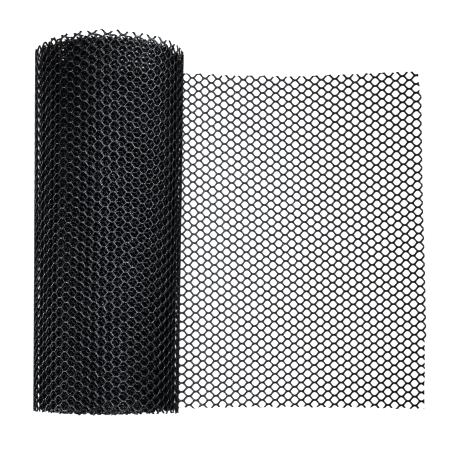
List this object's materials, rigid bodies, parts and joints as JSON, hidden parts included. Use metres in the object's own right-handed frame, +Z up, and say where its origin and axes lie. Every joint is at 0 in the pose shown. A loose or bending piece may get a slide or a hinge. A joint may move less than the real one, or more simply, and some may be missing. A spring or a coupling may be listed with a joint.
{
  "type": "roll of plastic mesh",
  "caption": "Roll of black plastic net with rounded hexagonal openings, wound in loose turns around an open core, its free end pulled out flat beside it.",
  "frame": {"origin": "on the surface, at the bottom centre of the whole piece's box", "axes": "the roll's axis runs along Y, the loose end runs from the roll to +X, and +Z is up"},
  "size_m": [0.4539, 0.4068, 0.1676],
  "materials": {
    "net_plastic": "black extruded polyethylene with a soft sheen on its rounded strands"
  },
  "bodies": {
    "root": {"roll": "net_plastic", "loose_end": "net_plastic"}
  },
  "joints": []
}
